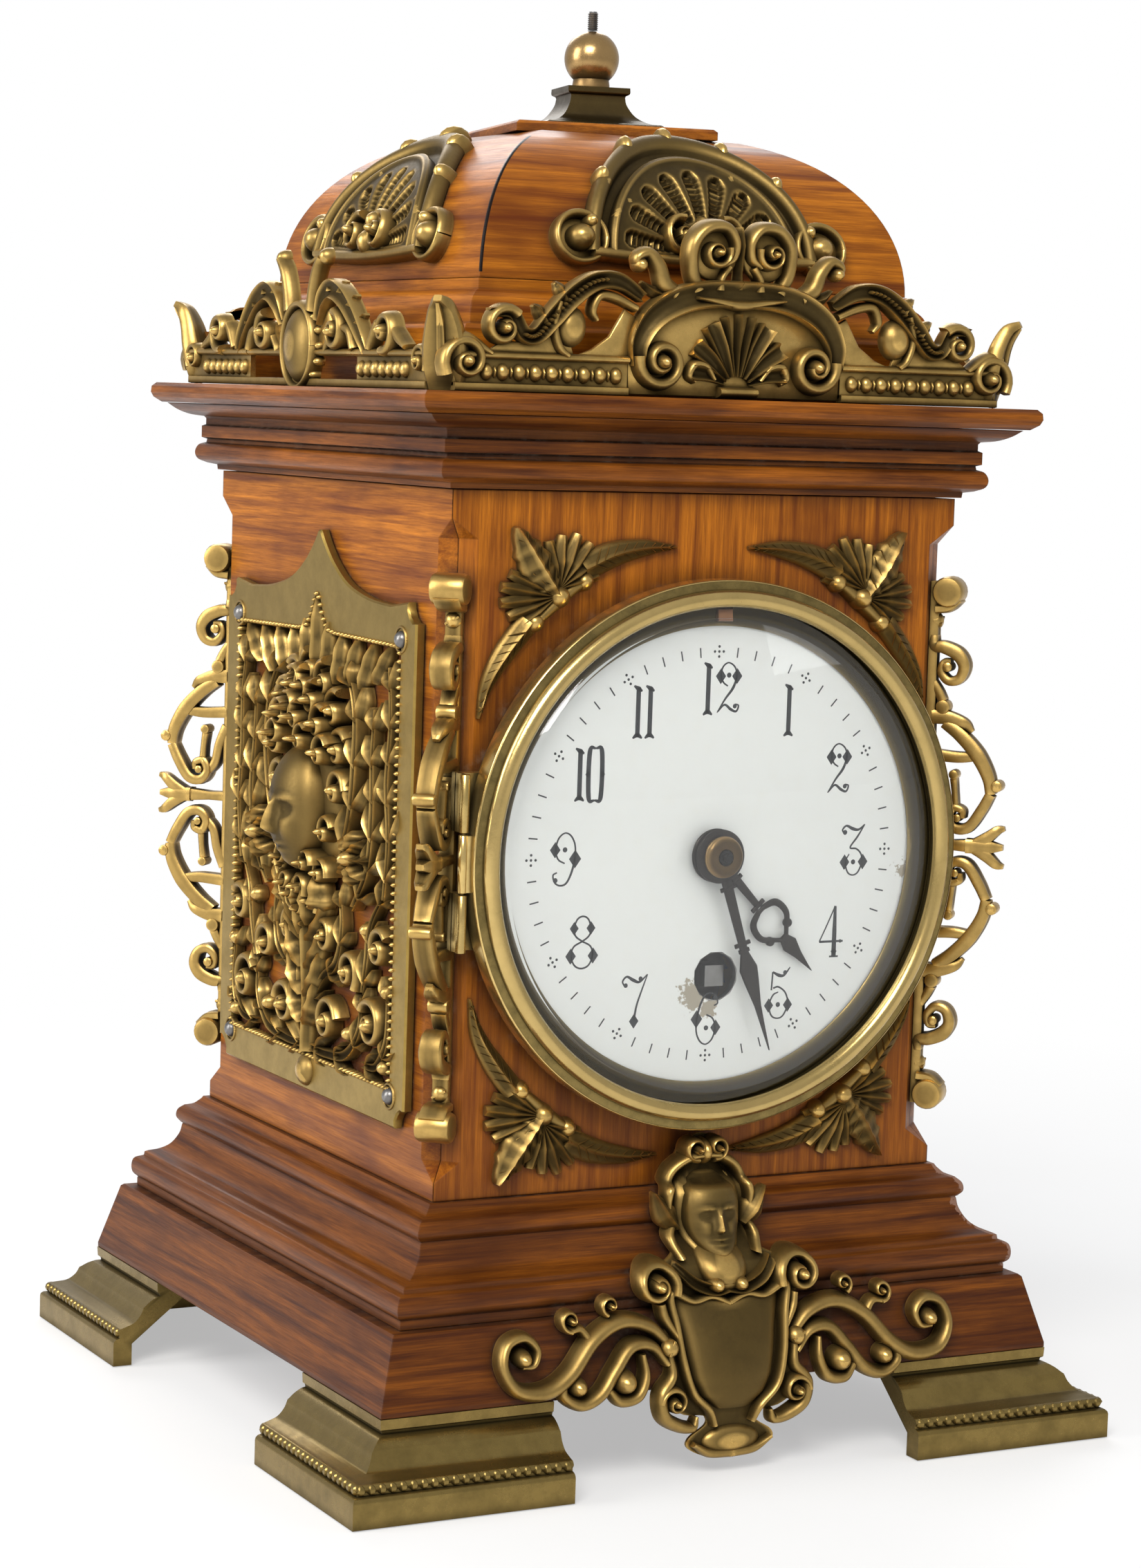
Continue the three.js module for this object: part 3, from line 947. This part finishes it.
// Apron mount that hangs over the base mouldings, below the dial. Heights are above the table.
function frontCartouche() {
  const skirt = HALF + SKIRT_BOTTOM_REACH + 0.5;
  const line = [[skirt, 2.2], [skirt, FOOT_HEIGHT + 0.4], [HALF + SKIRT_TOP_REACH + 0.6, SKIRT_TOP + 0.4],
    [HALF + BASE_ROLL_REACH + 0.5, SKIRT_TOP + 6.6], [HALF + 6, BODY_BOTTOM - 6.3],
    [HALF + 5, BODY_BOTTOM + 0.5], [HALF + 2.6, BODY_BOTTOM + 2.3], [HALF + 2.6, CREST_TOP + 0.4]];
  const stretch = CREST_TOP / CREST_DRAWN;
  const slab = (thickness) => sideways(outline([...line,
    ...line.map(([reach, height]) => [reach + thickness, height]).reverse()]), BODY_WIDTH);
  const raised = (extra, shape) =>
    slab(CARTOUCHE_THICKNESS + extra).intersect(solid(plate(shape, 2 * BODY_WIDTH)));
  const drawn = (points) => outline(bothSides(stretched(points, stretch)));
  const edge = drawn([[5, 2.4], [9, 5], [9.6, 10], [14, 12], [24, 11], [44.4, 17], [43, 20.4],
    [33, 20.8], [25, 23.6], [18, 28], [11.6, 38.4], [10.6, 44], [9.4, 50], [4.8, 54], [1.4, CREST_DRAWN]]);
  const shield = drawn([[6.4, 13], [11, 16], [12.4, 22], [10.6, 28], [7.4, 33], [2, 34.6]]);
  const head = drawn([[3, 38.2], [5.8, 41], [5.6, 48], [1.6, 51.4]]);
  return join(raised(0, edge), raised(1.6, shield), raised(2.6, head),
    ...[-1, 1].map((side) => raised(1.4, disc(3.8, 6, side * 15.4, 26.4 * stretch))),
    ...[-1, 1].map((side) => raised(1, disc(1.7, 6, side * 26, 17.4 * stretch))));
}

// ---------------------------------------------------------------- back door
const DOOR_HINGE_X = -(DOOR_WIDTH + DOOR_GAP) / 2;
const DOOR_HINGE_STAND = 0.1 + DOOR_HINGE_RADIUS;
const DOOR_KNUCKLE = DOOR_HINGE_LENGTH / 3;
const LEAF_THICKNESS = 0.8;

const backDoor = () => block(DOOR_WIDTH, DOOR_HEIGHT, DOOR_THICKNESS, 0, 0, -DOOR_THICKNESS / 2);
const knuckleAt = (i) => -DOOR_HINGE_LENGTH / 2 + i * DOOR_KNUCKLE;

// One leaf of the door's hinge. The fixed leaf carries the outer knuckles and the pin.
function hingeLeaf(side, knuckles) {
  const low = 0.1;
  const bore = PIN_RADIUS + 0.25;
  const pieces = knuckles.map((i) => {
    const bottom = knuckleAt(i) + 0.15;
    const top = knuckleAt(i + 1) - 0.15;
    const tongue = block(2.4, top - bottom, LEAF_THICKNESS, DOOR_HINGE_X + side * 1.2,
      (bottom + top) / 2, low + LEAF_THICKNESS / 2);
    return join(tongue, barrel(DOOR_HINGE_RADIUS, 0, bottom, top, DOOR_HINGE_X, DOOR_HINGE_STAND));
  });
  const leaf = block(6, DOOR_HINGE_LENGTH - 0.3, LEAF_THICKNESS,
    DOOR_HINGE_X + side * (3 + DOOR_HINGE_RADIUS + 0.3), 0, low + LEAF_THICKNESS / 2);
  const whole = join(leaf, ...pieces);
  const long = DOOR_HINGE_LENGTH / 2;
  return side < 0
    ? join(whole, barrel(PIN_RADIUS, 0, -long + 0.2, long - 0.2, DOOR_HINGE_X, DOOR_HINGE_STAND))
    : cut(whole, barrel(bore, 0, -long - 1, long + 1, DOOR_HINGE_X, DOOR_HINGE_STAND));
}

const doorKnob = () => turned([[0, 0.1], [3, 0.1], [3, 0.8], [1.4, 1.6], [1.3, 3.4], [KNOB_RADIUS - 0.6, 4.6],
  [KNOB_RADIUS, 6.2], [KNOB_RADIUS - 0.8, 7.8], [0, 8.9]], 9).translate([DOOR_WIDTH / 2 - 7, 0, 0]);

// ---------------------------------------------------------------- assembly
clock.add(
  part('plinth_skirt', plinthSkirt(), walnut()),
  part('base_moulding', baseMoulding(), walnut()),
  part('front_board', frontBoard(), walnut()),
  part('right_side_board', standingBoard(RIGHT), walnut()),
  part('left_side_board', standingBoard(LEFT), walnut()),
  part('back_board', backBoard(), walnut()),
  part('cornice_moulding', corniceMoulding(), walnut()),
  part('top_board', topBoard(), walnut()),
  part('dome_plinth', domePlinth(), walnut()),
  part('dome', dome(), walnut()));

const top = new Group();
top.rotation.z = TOP_TURN;
top.add(part('dome_cap', domeCap(), walnut()), part('finial_pedestal', finialPedestal(), brass()),
  part('finial_ball', finialBall(), polishedBrass()), part('finial_stud', finialStud(), brass()));
clock.add(top);

Object.entries(CORNERS).forEach(([corner, turn]) => {
  clock.add(part(`foot_${corner}`, foot(turn), bronze()));
  mount(turn, CHAMFER_DISTANCE, DIAL_HEIGHT, part(`corner_mount_${corner}`, cornerMount(), brass()));
});

mount(FRONT, HALF, DIAL_HEIGHT,
  part('dial_pan', dialPan(), brass()), part('dial', dialPlate(), enamel()),
  part('bezel', bezel(), polishedBrass()), part('bezel_glass', bezelGlass(), clearGlass()),
  part('hour_hand', hourHand(), bluedSteel()), part('minute_hand', minuteHand(), bluedSteel()),
  part('hand_collet', handCollet(), polishedBrass()), part('hour_wheel', hourWheel(), brass()),
  part('minute_wheel', minuteWheel(), brass()), part('front_plate', frontPlate(), brass()),
  part('back_plate', backPlate(), brass()), part('spring_barrel', greatWheel(), brass()),
  part('winding_arbor', windingArbor(), steel()), part('click', click(), steel()),
  part('centre_arbor', centreArbor(), steel()), part('third_arbor', thirdArbor(), steel()),
  part('fourth_arbor', fourthArbor(), steel()), part('escape_arbor', escapeArbor(), steel()),
  part('pallets', pallets(), steel()), part('pendulum', pendulum(), brass()),
  part('spandrel_upper_right', spandrel(1, 1), brass()),
  part('spandrel_upper_left', spandrel(-1, 1), brass()),
  part('spandrel_lower_right', spandrel(1, -1), brass()),
  part('spandrel_lower_left', spandrel(-1, -1), brass()));

mount(FRONT, 0, 0, part('front_cartouche', frontCartouche(), brass()));
const galleryAt = HALF + GALLERY_REACH - GALLERY_THICKNESS;
mount(FRONT, galleryAt, SLAB_TOP, part('gallery_front', frontGallery(), brass()));
mount(BACK, galleryAt, SLAB_TOP, part('gallery_back', frontGallery(), brass()));
mount(LEFT, galleryAt, SLAB_TOP, part('gallery_left', sideGallery(), brass()));
mount(RIGHT, galleryAt, SLAB_TOP, part('gallery_right', sideGallery(), brass()));
mount(LEFT, HALF, BODY_BOTTOM + FRET_BOTTOM, part('side_fret_left', sideFret(), brass()));
mount(RIGHT, HALF, BODY_BOTTOM + FRET_BOTTOM, part('side_fret_right', sideFret(), brass()));
clock.add(
  part('dome_shell_front', domeShell(FRONT), brass()),
  part('dome_shell_left', domeShell(LEFT), brass()),
  part('dome_shell_right', domeShell(RIGHT), brass()));

mount(BACK, HALF, DOOR_BOTTOM + DOOR_HEIGHT / 2,
  part('back_door', backDoor(), walnut()), part('door_knob', doorKnob(), polishedBrass()),
  part('door_hinge_fixed', hingeLeaf(-1, [0, 2]), brass()),
  part('door_hinge_leaf', hingeLeaf(1, [1]), brass()));

export default clock;
